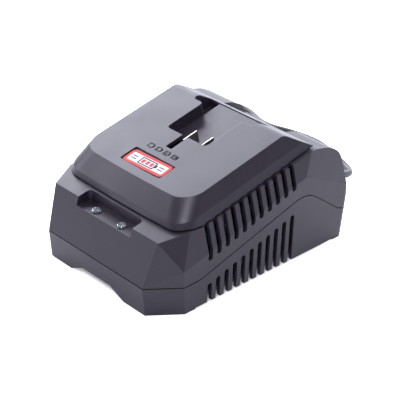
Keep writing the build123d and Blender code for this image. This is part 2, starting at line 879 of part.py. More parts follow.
def pocket_space(growth):
    """The battery pocket, square to the table, or with growth the shell that stands around it."""
    pit_rear = pocket_end - sill_width + growth
    with BuildPart() as space:
        with BuildSketch(table_plane.offset(-pocket_depth - growth)):
            add(pocket_plan(growth))
        extrude(amount=sky)
        with BuildSketch(table_plane.offset(-pit_depth - growth)):
            add(pocket_plan(growth))
            Rectangle(2 * (pocket_half_width - growth), 4 * dock_length, mode=Mode.SUBTRACT)
            with Locations((0, pit_rear)):
                Rectangle(
                    4 * pocket_wing_half_width,
                    dock_length,
                    align=(Align.CENTER, Align.MIN),
                    mode=Mode.SUBTRACT,
                )
        extrude(amount=pit_depth)
    return space.part


with BuildPart() as pocket_tub:
    add(pocket_space(pocket_shell))
    add(dock_form(0, 0, dock_lift), mode=Mode.INTERSECT)

dock_seat_drop = wall + dock_screw_diameter * head_ratio * deck_slope / 2 + 0.2
dock_screw_places = [
    (side * x, back(distance), case_top(distance) - dock_seat_drop)
    for x, distance in dock_boss_places
    for side in (1, -1)
]

with BuildPart() as dock_bosses:
    with BuildSketch(Plane.XY.offset(recess_floor_height)):
        with Locations(mirrored(dock_boss_places)):
            Circle(dock_boss_diameter / 2)
    extrude(amount=60)
    add(above_case(0), mode=Mode.INTERSECT)
    split(bisect_by=table_plane.offset(-dock_top_thickness / 2), keep=Keep.BOTTOM)

with BuildPart() as channel_space:
    channel_front = table_v(channel_front_back)
    channel_rear = table_v(pocket_front_back) + pocket_shell / 2
    with BuildSketch(table_plane.offset(-channel_depth)):
        with Locations(((channel_left + channel_right) / 2, (channel_front + channel_rear) / 2)):
            Rectangle(channel_right - channel_left, channel_rear - channel_front)
    extrude(amount=sky)

with BuildPart() as battery_dock:
    add(dock_form(0, 0, dock_lift))
    add(dock_form(dock_wall, dock_top_thickness, -5), mode=Mode.SUBTRACT)
    add(pocket_tub.part)
    add(dock_bosses.part)
    add(pocket_space(0), mode=Mode.SUBTRACT)
    add(channel_space.part, mode=Mode.SUBTRACT)
    with BuildSketch(table_plane.offset(-pocket_depth - sill_depth)):
        with Locations((0, pocket_end - sill_width)):
            Rectangle(2 * (pocket_wing_half_width - sill_width), sill_width)
    extrude(amount=pocket_depth, mode=Mode.SUBTRACT)
    # slots for the contact blades through the pocket's front wall
    for x, _, _ in blade_places:
        with BuildSketch(table_section(x - blade_thickness / 2 - blade_slot_clearance)):
            with Locations((table_v(pocket_front_back), -pocket_depth)):
                Rectangle(
                    3 * pocket_shell,
                    blade_neck_height + 2 * blade_neck_lift,
                    align=(Align.CENTER, Align.MIN),
                )
        extrude(amount=blade_thickness + 2 * blade_slot_clearance, mode=Mode.SUBTRACT)
    with Locations(*dock_screw_places):
        Cylinder(
            dock_screw_diameter / 2 + screw_clearance,
            dock_screw_length + 1,
            align=(Align.CENTER, Align.CENTER, Align.MIN),
            mode=Mode.SUBTRACT,
        )
    # shallow recess for the name plate, and a row of plain engraved marks
    plate_length = table_v(plate_recess_rear) - table_v(plate_recess_front)
    plate_middle = (table_v(plate_recess_rear) + table_v(plate_recess_front)) / 2
    with BuildSketch(table_plane):
        with Locations((0, plate_middle)):
            RectangleRounded(2 * plate_recess_half_width, plate_length, 1.5)
    extrude(amount=-plate_recess_depth, mode=Mode.SUBTRACT)
    mark_v = table_v(mark_back)
    with BuildSketch(table_plane):
        for bar_count, mark_x in enumerate(mark_places):
            with Locations((mark_x, mark_v)):
                Rectangle(mark_width, mark_length)
                Rectangle(
                    mark_width - 2 * mark_line, mark_length - 2 * mark_line, mode=Mode.SUBTRACT
                )
            with Locations((mark_x + mark_width / 2, mark_v)):
                Rectangle(2 * mark_nub, mark_length / 2, align=(Align.CENTER, Align.CENTER))
            for bar in range(bar_count):
                bar_x = mark_x + (bar - 1) * mark_bar_pitch
                with Locations((bar_x, mark_v)):
                    Rectangle(mark_line, mark_length - 3 * mark_line)
    extrude(amount=-mark_depth, mode=Mode.SUBTRACT)

# ---- name plate: a blank sheet, set a little askew in its recess -------------------
with BuildPart() as name_plate:
    with BuildSketch(table_plane.offset(-plate_recess_depth)) as plate_shape:
        with Locations(Location((0, plate_middle, 0), (0, 0, plate_turn))):
            Rectangle(2 * (plate_recess_half_width - plate_margin), plate_length - 2 * plate_margin)
        chamfer(plate_shape.vertices(), plate_corner_cut / 2)
    extrude(amount=plate_thickness)

# ---- contact blades, their moulded block and the leads down to the board -----------
neck_low = blade_neck_lift - pocket_depth
neck_high = neck_low + blade_neck_height
block_rear_back = pocket_front_back - pocket_shell
block_rear = table_v(block_rear_back)
blade_root = table_v(blade_root_back)

with BuildPart() as contact_blades:
    for x, blade_front, blade_rear in blade_places:
        with BuildSketch(table_section(x - blade_thickness / 2)):
            with BuildLine():
                Polyline(
                    (blade_root, neck_low - blade_hook),
                    (blade_root, neck_high),
                    (table_v(blade_front), neck_high),
                    (table_v(blade_front), -blade_drop),
                    (table_v(blade_rear), -blade_drop),
                    (table_v(blade_rear), neck_low),
                    (block_rear, neck_low),
                    (block_rear - blade_neck_height, neck_low - blade_hook),
                    close=True,
                )
            make_face()
        extrude(amount=blade_thickness)

with BuildPart() as terminal_block:
    with BuildSketch(Plane.YZ.offset(terminal_block_left)):
        with BuildLine():
            front_y = back(terminal_block_front)
            rear_y = back(block_rear_back - screw_clearance)
            Polyline(
                (front_y, case_top(terminal_block_front)),
                (front_y, table_top(terminal_block_front) - terminal_block_cover),
                (rear_y, table_top(block_rear_back) - terminal_block_cover),
                (rear_y, case_top(block_rear_back)),
                close=True,
            )
        make_face()
    extrude(amount=terminal_block_right - terminal_block_left)
    add(contact_blades.part, mode=Mode.SUBTRACT)

with BuildPart() as contact_leads:
    for x, _, _ in blade_places:
        with Locations((x, back(lead_back), board_top)):
            Cylinder(
                lead_diameter / 2,
                case_top(lead_back) - lead_diameter * deck_slope - board_top,
                align=(Align.CENTER, Align.CENTER, Align.MIN),
            )

# ---- lamps: clear domes in dark bezels, over a small board with two diodes ---------
lamp_body_bottom = recess_floor_height - lamp_body_depth

with BuildPart() as lamp_lenses:
    dome_foot = recess_floor_height + bezel_height
    with BuildSketch(Plane.XY.offset(lamp_body_bottom)):
        with Locations(lamp_places):
            Circle(lamp_diameter / 2)
    extrude(amount=dome_foot + lamp_rise - lamp_body_bottom)
    fillet(lamp_lenses.edges().group_by(Axis.Z)[-1], lamp_rise - 0.1)
    with BuildSketch(Plane.XY.offset(recess_floor_height - wall)):
        with Locations(lamp_places):
            Circle(lamp_flange_diameter / 2)
    extrude(amount=-lamp_flange_thickness)

with BuildPart() as lamp_bezels:
    with BuildSketch(Plane.XY.offset(recess_floor_height)):
        with Locations(lamp_places):
            Circle(bezel_diameter / 2)
            Circle(lamp_diameter / 2 + screw_clearance, mode=Mode.SUBTRACT)
    extrude(amount=bezel_height)

lamp_board_front = front_wall_back(lamp_board_top) + wall * hypot(1, front_lean) + lamp_board_gap

with BuildPart() as lamp_board:
    with BuildSketch(Plane.XY.offset(lamp_board_top)):
        with Locations((0, back(lamp_board_front + lamp_board_length / 2))):
            Rectangle(lamp_board_width, lamp_board_length)
        with Locations(lamp_post_places):
            Circle(lamp_stake_diameter / 2 + screw_clearance, mode=Mode.SUBTRACT)
    extrude(amount=-lamp_board_thickness)

with BuildPart() as lamp_diodes:
    with BuildSketch(Plane.XY.offset(lamp_board_top)):
        with Locations(lamp_places):
            RectangleRounded(*diode_size, diode_corner_radius)
    extrude(amount=lamp_body_bottom - lamp_board_top - screw_clearance)

# ---- circuit board and the parts soldered on it ------------------------------------
board_middle = back(board_front + board_length / 2)

with BuildPart() as circuit_board:
    with BuildSketch(Plane.XY.offset(board_bottom)):
        with Locations((0, board_middle)):
            RectangleRounded(2 * board_half_width, board_length, 2)
        with Locations(board_post_places):
            Circle(board_screw_diameter / 2 + 0.2, mode=Mode.SUBTRACT)
    extrude(amount=board_thickness)

core_width, core_thickness, core_height = core_size
core_y = back(core_place[1])
window_height = core_height - 2 * core_yoke
window_offset = (core_leg + core_window) / 2

with BuildPart() as transformer_core:
    with BuildSketch(Plane.XZ.offset(-core_y - core_thickness / 2)):
        with Locations((core_place[0], board_top + core_height / 2)):
            Rectangle(core_width, core_height)
            with Locations((-window_offset, 0), (window_offset, 0)):
                Rectangle(core_window, window_height, mode=Mode.SUBTRACT)
    extrude(amount=core_thickness)

with BuildPart() as transformer_winding:
    with BuildSketch(Plane.XY.offset(board_top + core_yoke + screw_clearance)):
        with Locations((core_place[0], core_y)):
            RectangleRounded(core_leg + 2 * winding_growth, core_thickness + 2 * winding_growth, 4)
            Rectangle(core_leg + 0.1, core_thickness + 0.1, mode=Mode.SUBTRACT)
    extrude(amount=window_height - 2 * screw_clearance)

with BuildPart() as bulk_capacitor:
    with BuildSketch(Plane.XY.offset(board_top)):
        with Locations((bulk_capacitor_place[0], back(bulk_capacitor_place[1]))):
            Circle(bulk_capacitor_diameter / 2)
    extrude(amount=bulk_capacitor_height)
    fillet(bulk_capacitor.edges().group_by(Axis.Z)[-1], 1)

with BuildPart() as output_capacitors:
    with BuildSketch(Plane.XY.offset(board_top)):
        with Locations(*[(output_capacitor_x, back(distance)) for distance in output_capacitor_backs]):
            Circle(output_capacitor_diameter / 2)
    extrude(amount=output_capacitor_height)
    fillet(output_capacitors.edges().group_by(Axis.Z)[-1], 0.8)

winding_rear = core_place[1] + core_thickness / 2 + winding_growth
fuse_front = fuse_place[1] - fuse_diameter / 2
choke_y = back((winding_rear + fuse_front) / 2)
with BuildPart() as choke_core:
    with BuildSketch(Plane.XY.offset(board_top + choke_winding)):
        with Locations((choke_x, choke_y)):
            Circle(choke_diameter / 2)
            Circle(choke_bore / 2, mode=Mode.SUBTRACT)
    extrude(amount=choke_height)

with BuildPart() as choke_windings:
    with BuildSketch(Plane.XY.offset(board_top)):
        with Locations((choke_x, choke_y)):
            Circle(choke_diameter / 2 + choke_winding)
            Circle(choke_bore / 2 - choke_winding, mode=Mode.SUBTRACT)
            Rectangle(choke_diameter * 2, choke_bore / 2, mode=Mode.SUBTRACT)
    extrude(amount=choke_height + 2 * choke_winding)
    add(choke_core.part, mode=Mode.SUBTRACT)

sink_x, sink_y = sink_place[0], back(sink_place[1])
with BuildPart() as heat_sink:
    with BuildSketch(Plane.XY.offset(board_top)):
        with Locations((sink_x + sink_plate / 2, sink_y)):
            Rectangle(sink_plate, sink_length)
        with Locations((sink_x + sink_plate + sink_fin_depth / 2, sink_y)):
            fin_pitch = (sink_length - sink_fin_thickness) / (sink_fin_count - 1)
            with GridLocations(0, fin_pitch, 1, sink_fin_count):
                Rectangle(sink_fin_depth, sink_fin_thickness)
    extrude(amount=sink_height)

transistor_ys = [sink_y - transistor_spacing / 2, sink_y + transistor_spacing / 2]
with BuildPart() as power_transistors:
    for y in transistor_ys:
        with Locations((sink_x, y, board_top + transistor_lift)):
            Box(*transistor_tab, align=(Align.MAX, Align.CENTER, Align.MIN))
            Box(*transistor_body, align=(Align.MAX, Align.CENTER, Align.MIN))
        with Locations((sink_x - transistor_leg_reach, y, board_top)):
            with GridLocations(0, leg_pitch, 1, 3):
                Box(*transistor_leg, align=(Align.CENTER, Align.CENTER, Align.MIN))

fuse_x, fuse_y = fuse_place[0], back(fuse_place[1])
fuse_height = board_top + fuse_diameter / 2 + fuse_lift
with BuildPart() as fuse:
    with BuildSketch(Plane.YZ.offset(fuse_x - fuse_length / 2)):
        with Locations((fuse_y, fuse_height)):
            Circle(fuse_diameter / 2)
    extrude(amount=fuse_length)

with BuildPart() as fuse_clips:
    for side in (1, -1):
        clip_x = fuse_x + side * (fuse_length / 2 - fuse_clip_inset)
        clip_size = fuse_diameter + 2 * fuse_clip_wall
        with BuildSketch(Plane.YZ.offset(clip_x - fuse_clip_width / 2)):
            with Locations((fuse_y, board_top)):
                Rectangle(clip_size, clip_size + fuse_clip_wall, align=(Align.CENTER, Align.MIN))
            with Locations((fuse_y, fuse_height)):
                Circle(fuse_diameter / 2 + press_clearance, mode=Mode.SUBTRACT)
                Rectangle(
                    fuse_diameter * 0.8,
                    fuse_diameter,
                    align=(Align.CENTER, Align.MIN),
                    mode=Mode.SUBTRACT,
                )
        extrude(amount=fuse_clip_width)

with BuildPart() as rectifier:
    with Locations((rectifier_place[0], back(rectifier_place[1]), board_top)):
        Box(*rectifier_size, align=(Align.CENTER, Align.CENTER, Align.MIN))
    marked_corner = rectifier.edges().filter_by(Axis.Y).group_by(Axis.X)[-1].group_by(Axis.Z)[-1]
    chamfer(marked_corner, rectifier_corner)

with BuildPart() as control_chip:
    with Locations((chip_place[0], back(chip_place[1]), board_top)):
        Box(*chip_size, align=(Align.CENTER, Align.CENTER, Align.MIN))
        with GridLocations(chip_pin_pitch, chip_row_spacing, chip_row_pins, 2):
            Box(*chip_pin_size, align=(Align.CENTER, Align.CENTER, Align.MIN))


# ---- screws ------------------------------------------------------------------------
def pan_screws(places, diameter, length, head_height, points_up):
    """Pan-head screws whose shanks run from the head's seat, one at each place."""
    toward = Align.MIN if points_up else Align.MAX
    away = Align.MAX if points_up else Align.MIN
    with BuildPart() as screws:
        with Locations(*places):
            Cylinder(diameter / 2, length, align=(Align.CENTER, Align.CENTER, toward))
            Cylinder(diameter * head_ratio / 2, head_height,
                     align=(Align.CENTER, Align.CENTER, away))
        faces = screws.faces().sort_by(Axis.Z)
        head_faces = faces[: len(places)] if points_up else faces[-len(places):]
        for seat in head_faces:
            with Locations(Location(seat.center(), (0, 0, 0))):
                arm = diameter * drive_reach
                for arm_size in ((arm, drive_width), (drive_width, arm)):
                    Box(
                        *arm_size,
                        head_height * drive_depth,
                        align=(Align.CENTER, Align.CENTER, toward),
                        mode=Mode.SUBTRACT,
                    )
    return screws


case_screw_seat = floor_underside + floor_thickness + 1
case_screws = pan_screws(
    [(x, y, case_screw_seat) for x, y in mirrored(case_screw_places)],
    case_screw_diameter,
    case_screw_length,
    case_screw_head_height,
    points_up=True,
)
board_screws = pan_screws(
    [(x, y, board_top) for x, y in board_post_places],
    board_screw_diameter,
    board_thickness + screw_bite,
    small_head_height,
    points_up=False,
)
dock_screws = pan_screws(
    dock_screw_places,
    dock_screw_diameter,
    dock_screw_length,
    dock_head_height,
    points_up=True,
)
clamp_screw_places = [
    (cord_exit_x + side * clamp_post_spacing / 2, clamp_y, cord_top + clamp_bar_thickness)
    for side in (1, -1)
]
clamp_screws = pan_screws(
    clamp_screw_places,
    board_screw_diameter,
    clamp_bar_thickness + screw_bite,
    small_head_height,
    points_up=False,
)

# ---- cooling fan: frame with motor sleeve, stator, and the rotor that turns ----------
fan_y = back(fan_back)
fan_plane = Plane(origin=(fan_x, fan_y, fan_z), x_dir=(0, 1, 0), z_dir=(1, 0, 0))
sleeve_bore = fan_shaft_diameter + 2 * fan_running_clearance

with BuildPart() as fan_frame:
    with BuildSketch(fan_plane):
        RectangleRounded(fan_size, fan_size, 2.5)
        Circle(fan_bore / 2, mode=Mode.SUBTRACT)
        with GridLocations(fan_hole_spacing, fan_hole_spacing, 2, 2):
            Circle(fan_hole_diameter / 2, mode=Mode.SUBTRACT)
    extrude(amount=fan_depth)
    with BuildSketch(fan_plane):
        Circle(fan_hub_diameter / 2)
        with Locations(Location((0, 0, 0), (0, 0, 45)), Location((0, 0, 0), (0, 0, -45))):
            Rectangle(fan_bore + 0.6, fan_strut_width)
        Circle(sleeve_bore / 2, mode=Mode.SUBTRACT)
    extrude(amount=fan_strut_thickness)
    with BuildSketch(fan_plane.offset(fan_strut_thickness)):
        Circle(fan_sleeve_diameter / 2)
        Circle(sleeve_bore / 2, mode=Mode.SUBTRACT)
    extrude(amount=fan_cup_length - fan_cup_wall - 0.6)

cup_start = fan_strut_thickness + 0.5
cup_end = cup_start + fan_cup_length
with BuildPart() as fan_stator:
    with BuildSketch(fan_plane.offset(fan_strut_thickness)):
        Circle(fan_hub_diameter / 2 - fan_cup_wall - 0.8)
        Circle(fan_sleeve_diameter / 2 + 0.02, mode=Mode.SUBTRACT)
    extrude(amount=fan_cup_length - fan_cup_wall - 0.8)

with BuildPart() as fan_rotor:
    with BuildSketch(fan_plane.offset(cup_start)):
        Circle(fan_hub_diameter / 2)
    extrude(amount=fan_cup_length)
    with BuildSketch(fan_plane.offset(cup_start)):
        Circle(fan_hub_diameter / 2 - fan_cup_wall)
    extrude(amount=fan_cup_length - fan_cup_wall, mode=Mode.SUBTRACT)
    with BuildSketch(fan_plane.offset(0.3)):
        Circle(fan_shaft_diameter / 2)
    extrude(amount=cup_end - fan_cup_wall - 0.3)
    blade_reach = fan_bore / 2 - fan_tip_clearance
    blade_start = fan_hub_diameter / 2 - fan_cup_wall / 2
    pitch = radians(fan_blade_pitch)
    for number in range(fan_blade_count):
        turn = 2 * pi * number / fan_blade_count
        radial = Vector(0, cos(turn), sin(turn))
        tangent = Vector(0, -sin(turn), cos(turn))
        chord = Vector(1, 0, 0) * cos(pitch) + tangent * sin(pitch)
        hub_middle = Vector(fan_x + (cup_start + cup_end) / 2, fan_y, fan_z)
        root = Plane(origin=hub_middle + radial * blade_start, x_dir=chord, z_dir=radial)
        with BuildSketch(root):
            SlotOverall(fan_blade_chord, fan_blade_thickness)
        extrude(amount=blade_reach - blade_start)

# ---- strain relief, cord clamp and the lead's inner end ------------------------------
relief_axis = Plane(
    origin=(cord_exit_x, back(rear_wall_back), cord_exit_height),
    x_dir=(1, 0, 0),
    z_dir=(0, 1, 0),
)
with BuildPart() as strain_relief:
    with BuildSketch(relief_axis.offset(0.6)):
        Circle(relief_root_diameter / 2)
    with BuildSketch(relief_axis.offset(relief_length)):
        Circle(relief_tip_diameter / 2)
    loft()
    with BuildSketch(relief_axis.offset(-wall - 0.5)):
        Circle(relief_neck_diameter / 2)
    extrude(amount=wall + 1.3)
    with BuildSketch(relief_axis.offset(-wall - 0.5)):
        Circle(relief_flange_diameter / 2)
    extrude(amount=-relief_flange_thickness)
    for number in range(1, relief_ring_count + 1):
        core_growth = relief_core_growth * (relief_ring_count + 2 - number)
        with BuildSketch(relief_axis.offset(number * relief_ring_pitch)):
            Circle(relief_root_diameter)
            Circle(relief_tip_diameter / 2 + core_growth, mode=Mode.SUBTRACT)
        extrude(amount=relief_ring_gap, mode=Mode.SUBTRACT)
    with BuildSketch(relief_axis.offset(-wall - 3)):
        Circle(cord_diameter / 2 + 0.02)
    extrude(amount=relief_length + wall + 10, mode=Mode.SUBTRACT)

inner_end_back = rear_wall_back - inner_lead_length
with BuildPart() as inner_lead:
    with BuildSketch(relief_axis.offset(relief_length)):
        Circle(cord_diameter / 2)
    extrude(amount=-(relief_length + inner_lead_length))

with BuildPart() as inner_conductors:
    for side in (1, -1):
        x = cord_exit_x + side * conductor_spacing / 2
        start = Vector(x, back(inner_end_back), cord_exit_height)
        lift = board_top + conductor_lift
        near = back(board_rear + conductor_reach)
        far = back(board_rear - conductor_reach)
        with BuildLine() as conductor_path:
            FilletPolyline(
                start,
                (x, near, cord_exit_height),
                (x, near, lift),
                (x, far, lift),
                (x, far, board_top),
                radius=conductor_bend,
            )
        start_plane = Plane(origin=start, z_dir=(0, -1, 0))
        with BuildSketch(start_plane) as conductor_section:
            Circle(conductor_diameter / 2)
        sweep(path=conductor_path.line)

with BuildPart() as cord_clamp:
    with BuildSketch(Plane.XY.offset(cord_top)):
        with Locations((cord_exit_x, clamp_y)):
            SlotOverall(clamp_post_spacing + clamp_bar_width, clamp_bar_width)
            with GridLocations(clamp_post_spacing, 0, 2, 1):
                Circle(board_screw_diameter / 2 + 0.2, mode=Mode.SUBTRACT)
    extrude(amount=clamp_bar_thickness)


# ---- mains cord: the loose stretch, its put-away hank, the tie, the tail and the plug ----
def bend_radii(points):
    """The largest radius that the two runs beside each corner allow, taken at 0.45 of the shorter."""
    radii = []
    for before, corner, after in zip(points, points[1:], points[2:]):
        turn = radians((corner - before).get_angle(after - corner))
        shorter = min((corner - before).length, (after - corner).length)
        radii.append(0.45 * shorter / tan(turn / 2))
    return radii


def soft_tube(route):
    """A round cord along straight runs joined by tangent arcs, with its length and radii."""
    points = [place(point) for point in route]
    radii = bend_radii(points)
    with BuildPart() as tube:
        with BuildLine() as path:
            FilletPolyline(*points, radius=radii)
        with BuildSketch(Plane(origin=points[0], z_dir=points[1] - points[0])):
            Circle(cord_diameter / 2)
        sweep(path=path.line)
    length = path.wires()[0].length
    print("cord stretch", round(length, 1), "mm, radii", [round(radius, 1) for radius in radii])
    section = pi * cord_diameter**2 / 4
    print("volume over section times length", round(tube.part.volume / (section * length), 4))
    return tube


mains_cord = soft_tube(cord_route)
cord_tail = soft_tube(tail_route)
hank_x, hank_y = hank_centre[0], back(hank_centre[1])


with BuildPart() as cord_hank:
    with BuildSketch(Plane.XY.offset(hank_lift)):
        with Locations((hank_x, hank_y)):
            SlotCenterToCenter(hank_straight, 2 * hank_bend_radius + hank_bundle_width)
            SlotCenterToCenter(hank_straight, 2 * hank_bend_radius - hank_bundle_width,
                               mode=Mode.SUBTRACT)
    extrude(amount=hank_bundle_height)
    hank_levels = cord_hank.edges().group_by(Axis.Z)
    chamfer(hank_levels[0] + hank_levels[-1], hank_edge)

with BuildPart() as cord_tie:
    with BuildSketch(Plane.YZ.offset(hank_x - tie_width / 2)):
        with Locations((hank_y - hank_bend_radius, hank_lift + hank_bundle_height / 2)):
            for growth, mode in ((tie_thickness, Mode.ADD), (0, Mode.SUBTRACT)):
                width = hank_bundle_width + 2 * growth
                height = hank_bundle_height + 2 * growth
                RectangleRounded(width, height, hank_edge * 0.6 + growth, mode=mode)
    extrude(amount=tie_width)

mains_cord.part = mains_cord.part - cord_hank.part - inner_lead.part
cord_tail.part = cord_tail.part - cord_hank.part

tail_end = place(tail_route[-1])
plug_turned = radians(plug_turn)
plug_x_dir = (cos(plug_turned), sin(plug_turned), 0)
plug_plane = Plane(origin=tail_end, x_dir=(-sin(plug_turned), cos(plug_turned), 0),
                   z_dir=plug_x_dir)

with BuildPart() as plug_body:
    with BuildSketch(plug_plane):
        Circle(cord_diameter / 2 + plug_neck_wall)
    with BuildSketch(plug_plane.offset(plug_neck_length)):
        RectangleRounded(plug_root_width, plug_root_thickness, plug_corner_radius)
    loft()
    with BuildSketch(plug_plane.offset(plug_neck_length)):
        RectangleRounded(plug_root_width, plug_root_thickness, plug_corner_radius)
    with BuildSketch(plug_plane.offset(plug_neck_length + plug_edge)):
        RectangleRounded(plug_width, plug_thickness, plug_corner_radius)
    loft()
    with BuildSketch(plug_plane.offset(plug_neck_length + plug_edge)):
        RectangleRounded(plug_width, plug_thickness, plug_corner_radius)
    extrude(amount=plug_length - plug_neck_length - plug_edge)

with BuildPart() as plug_pins:
    with BuildSketch(plug_plane.offset(plug_length - pin_root)) as pin_section:
        with GridLocations(pin_spacing, 0, 2, 1):
            RectangleRounded(pin_thickness, pin_width, pin_corner_radius)
    extrude(amount=pin_root + pin_length)

plug_body.part = plug_body.part - plug_pins.part - cord_tail.part

# ---- one file for each sub-part --------------------------------------------------------
sub_parts = {
    "lower_housing": lower_housing,
    "upper_housing": upper_housing,
    "battery_dock": battery_dock,
    "name_plate": name_plate,
    "contact_blades": contact_blades,
    "terminal_block": terminal_block,
    "contact_leads": contact_leads,
    "lamp_lenses": lamp_lenses,
    "lamp_bezels": lamp_bezels,
    "lamp_board": lamp_board,
    "lamp_diodes": lamp_diodes,
    "circuit_board": circuit_board,
    "transformer_core": transformer_core,
    "transformer_winding": transformer_winding,
    "bulk_capacitor": bulk_capacitor,
    "output_capacitors": output_capacitors,
    "choke_core": choke_core,
    "choke_windings": choke_windings,
    "heat_sink": heat_sink,
    "power_transistors": power_transistors,
    "fuse": fuse,
    "fuse_clips": fuse_clips,
    "rectifier": rectifier,
    "control_chip": control_chip,
    "rubber_feet": rubber_feet,
    "case_screws": case_screws,
    "board_screws": board_screws,
    "dock_screws": dock_screws,
    "clamp_screws": clamp_screws,
    "fan_frame": fan_frame,
    "fan_stator": fan_stator,
    "fan_rotor": fan_rotor,
    "strain_relief": strain_relief,
    "inner_lead": inner_lead,
    "inner_conductors": inner_conductors,
    "cord_clamp": cord_clamp,
    "mains_cord": mains_cord,
    "cord_hank": cord_hank,
    "cord_tie": cord_tie,
    "cord_tail": cord_tail,
    "plug_body": plug_body,
    "plug_pins": plug_pins,
}
os.makedirs("parts", exist_ok=True)
for name, sub_part in sub_parts.items():
    sub_part.part.label = name
    export_step(sub_part.part, f"parts/{name}.step")
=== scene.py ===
"""Power tool battery charger: the finishes of its pieces, its mains cord and the studio."""
import math

import bpy
import numpy as np
from mathutils import Euler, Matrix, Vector


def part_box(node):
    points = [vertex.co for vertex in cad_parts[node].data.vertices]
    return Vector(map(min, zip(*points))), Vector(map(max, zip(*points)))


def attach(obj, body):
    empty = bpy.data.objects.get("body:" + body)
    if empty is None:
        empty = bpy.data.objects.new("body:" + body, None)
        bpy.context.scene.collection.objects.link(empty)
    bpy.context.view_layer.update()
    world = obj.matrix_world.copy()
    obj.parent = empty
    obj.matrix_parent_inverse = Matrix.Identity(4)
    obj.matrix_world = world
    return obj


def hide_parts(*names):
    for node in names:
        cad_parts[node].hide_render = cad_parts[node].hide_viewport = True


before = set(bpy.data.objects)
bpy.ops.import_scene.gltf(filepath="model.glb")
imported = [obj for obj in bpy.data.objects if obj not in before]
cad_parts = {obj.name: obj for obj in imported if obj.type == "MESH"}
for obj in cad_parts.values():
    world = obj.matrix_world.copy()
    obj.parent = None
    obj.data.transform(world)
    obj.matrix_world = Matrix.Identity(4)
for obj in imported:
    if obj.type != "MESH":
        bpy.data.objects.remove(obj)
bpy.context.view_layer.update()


# ---- lower housing and upper housing -----------------------------------------------------------
# Two injection moulded shells of charcoal ABS, with rows of cooling slots. Their moulds are spark
# eroded, which leaves a fine even grain; their rounded outer edges carry a painted highlight, paler and
# glossier.
housing_colour = (0.019, 0.0145, 0.0245)
# painted edge highlight: a paler colour and less roughness on rounded edges, and the span of its edge
# mask
edge_highlight_colour = (0.11, 0.11, 0.125, 1)
edge_highlight_gloss = 0.15
edge_highlight_span = (0.995, 0.8)
noise_span = (0.3, 0.7)
surface_outputs = (
    ("Colour", "NodeSocketColor"),
    ("Roughness", "NodeSocketFloat"),
    ("Normal", "NodeSocketVector"),
)


def add_node(tree, kind, inputs=None, **settings):
    """A shader node with its settings. An input is a number, a colour or another node's output."""
    made = tree.nodes.new(kind)
    for name, value in settings.items():
        setattr(made, name, value)
    for name, value in (inputs or {}).items():
        if isinstance(value, bpy.types.NodeSocket):
            tree.links.new(value, made.inputs[name])
        else:
            made.inputs[name].default_value = value
    return made


def object_place(tree):
    """Where a point of the surface lies, in its own object's coordinates."""
    return add_node(tree, "ShaderNodeTexCoord").outputs["Object"]


def noise(tree, where, per_metre, **shape):
    """Smooth noise around 0.5, with so many patches to the metre."""
    inputs = {"Vector": where, "Scale": per_metre}
    inputs |= {name.capitalize(): value for name, value in shape.items()}
    return add_node(tree, "ShaderNodeTexNoise", inputs).outputs["Fac"]


def arithmetic(tree, operation, *numbers):
    """One step of arithmetic on numbers."""
    inputs = dict(enumerate(numbers))
    return add_node(tree, "ShaderNodeMath", inputs, operation=operation).outputs["Value"]


def vector_step(tree, operation, *vectors):
    """One step of arithmetic on vectors. A dot product gives a number, the others a vector."""
    made = add_node(tree, "ShaderNodeVectorMath", dict(enumerate(vectors)), operation=operation)
    return made.outputs["Value" if operation == "DOT_PRODUCT" else "Vector"]


def respan(tree, value, given_span, wanted_span=(0.0, 1.0)):
    """A value carried evenly from one span to another, and held at the ends of that one."""
    inputs = {"Value": value, "From Min": given_span[0], "From Max": given_span[1]}
    inputs |= {"To Min": wanted_span[0], "To Max": wanted_span[1]}
    return add_node(tree, "ShaderNodeMapRange", inputs).outputs["Result"]


def blended(tree, amount, under, over):
    """A colour that goes from one to another as the amount goes from 0 to 1."""
    inputs = {"Factor": amount, "A": under, "B": over}
    return add_node(tree, "ShaderNodeMix", inputs, data_type="RGBA").outputs["Result"]


def relief(tree, height, strength, depth, **start):
    """The normal of a surface that a height from 0 to 1 raises by a depth in metres."""
    inputs = {"Strength": strength, "Distance": depth, "Height": height}
    inputs |= {name.capitalize(): value for name, value in start.items()}
    return add_node(tree, "ShaderNodeBump", inputs).outputs["Normal"]


def new_effect(name, inputs, outputs):
    """An empty node group with named sockets, what it is given, and its output node."""
    tree = bpy.data.node_groups.new(name, "ShaderNodeTree")
    for socket_name, kind, value in inputs:
        socket = tree.interface.new_socket(socket_name, in_out="INPUT", socket_type=kind)
        socket.default_value = value
    for socket_name, kind in outputs:
        tree.interface.new_socket(socket_name, in_out="OUTPUT", socket_type=kind)
    return tree, tree.nodes.new("NodeGroupInput").outputs, tree.nodes.new("NodeGroupOutput")


def send(tree, output, **results):
    """Join results to a group's output node, by the names of its sockets."""
    for name, value in results.items():
        tree.links.new(value, output.inputs[name.capitalize()])


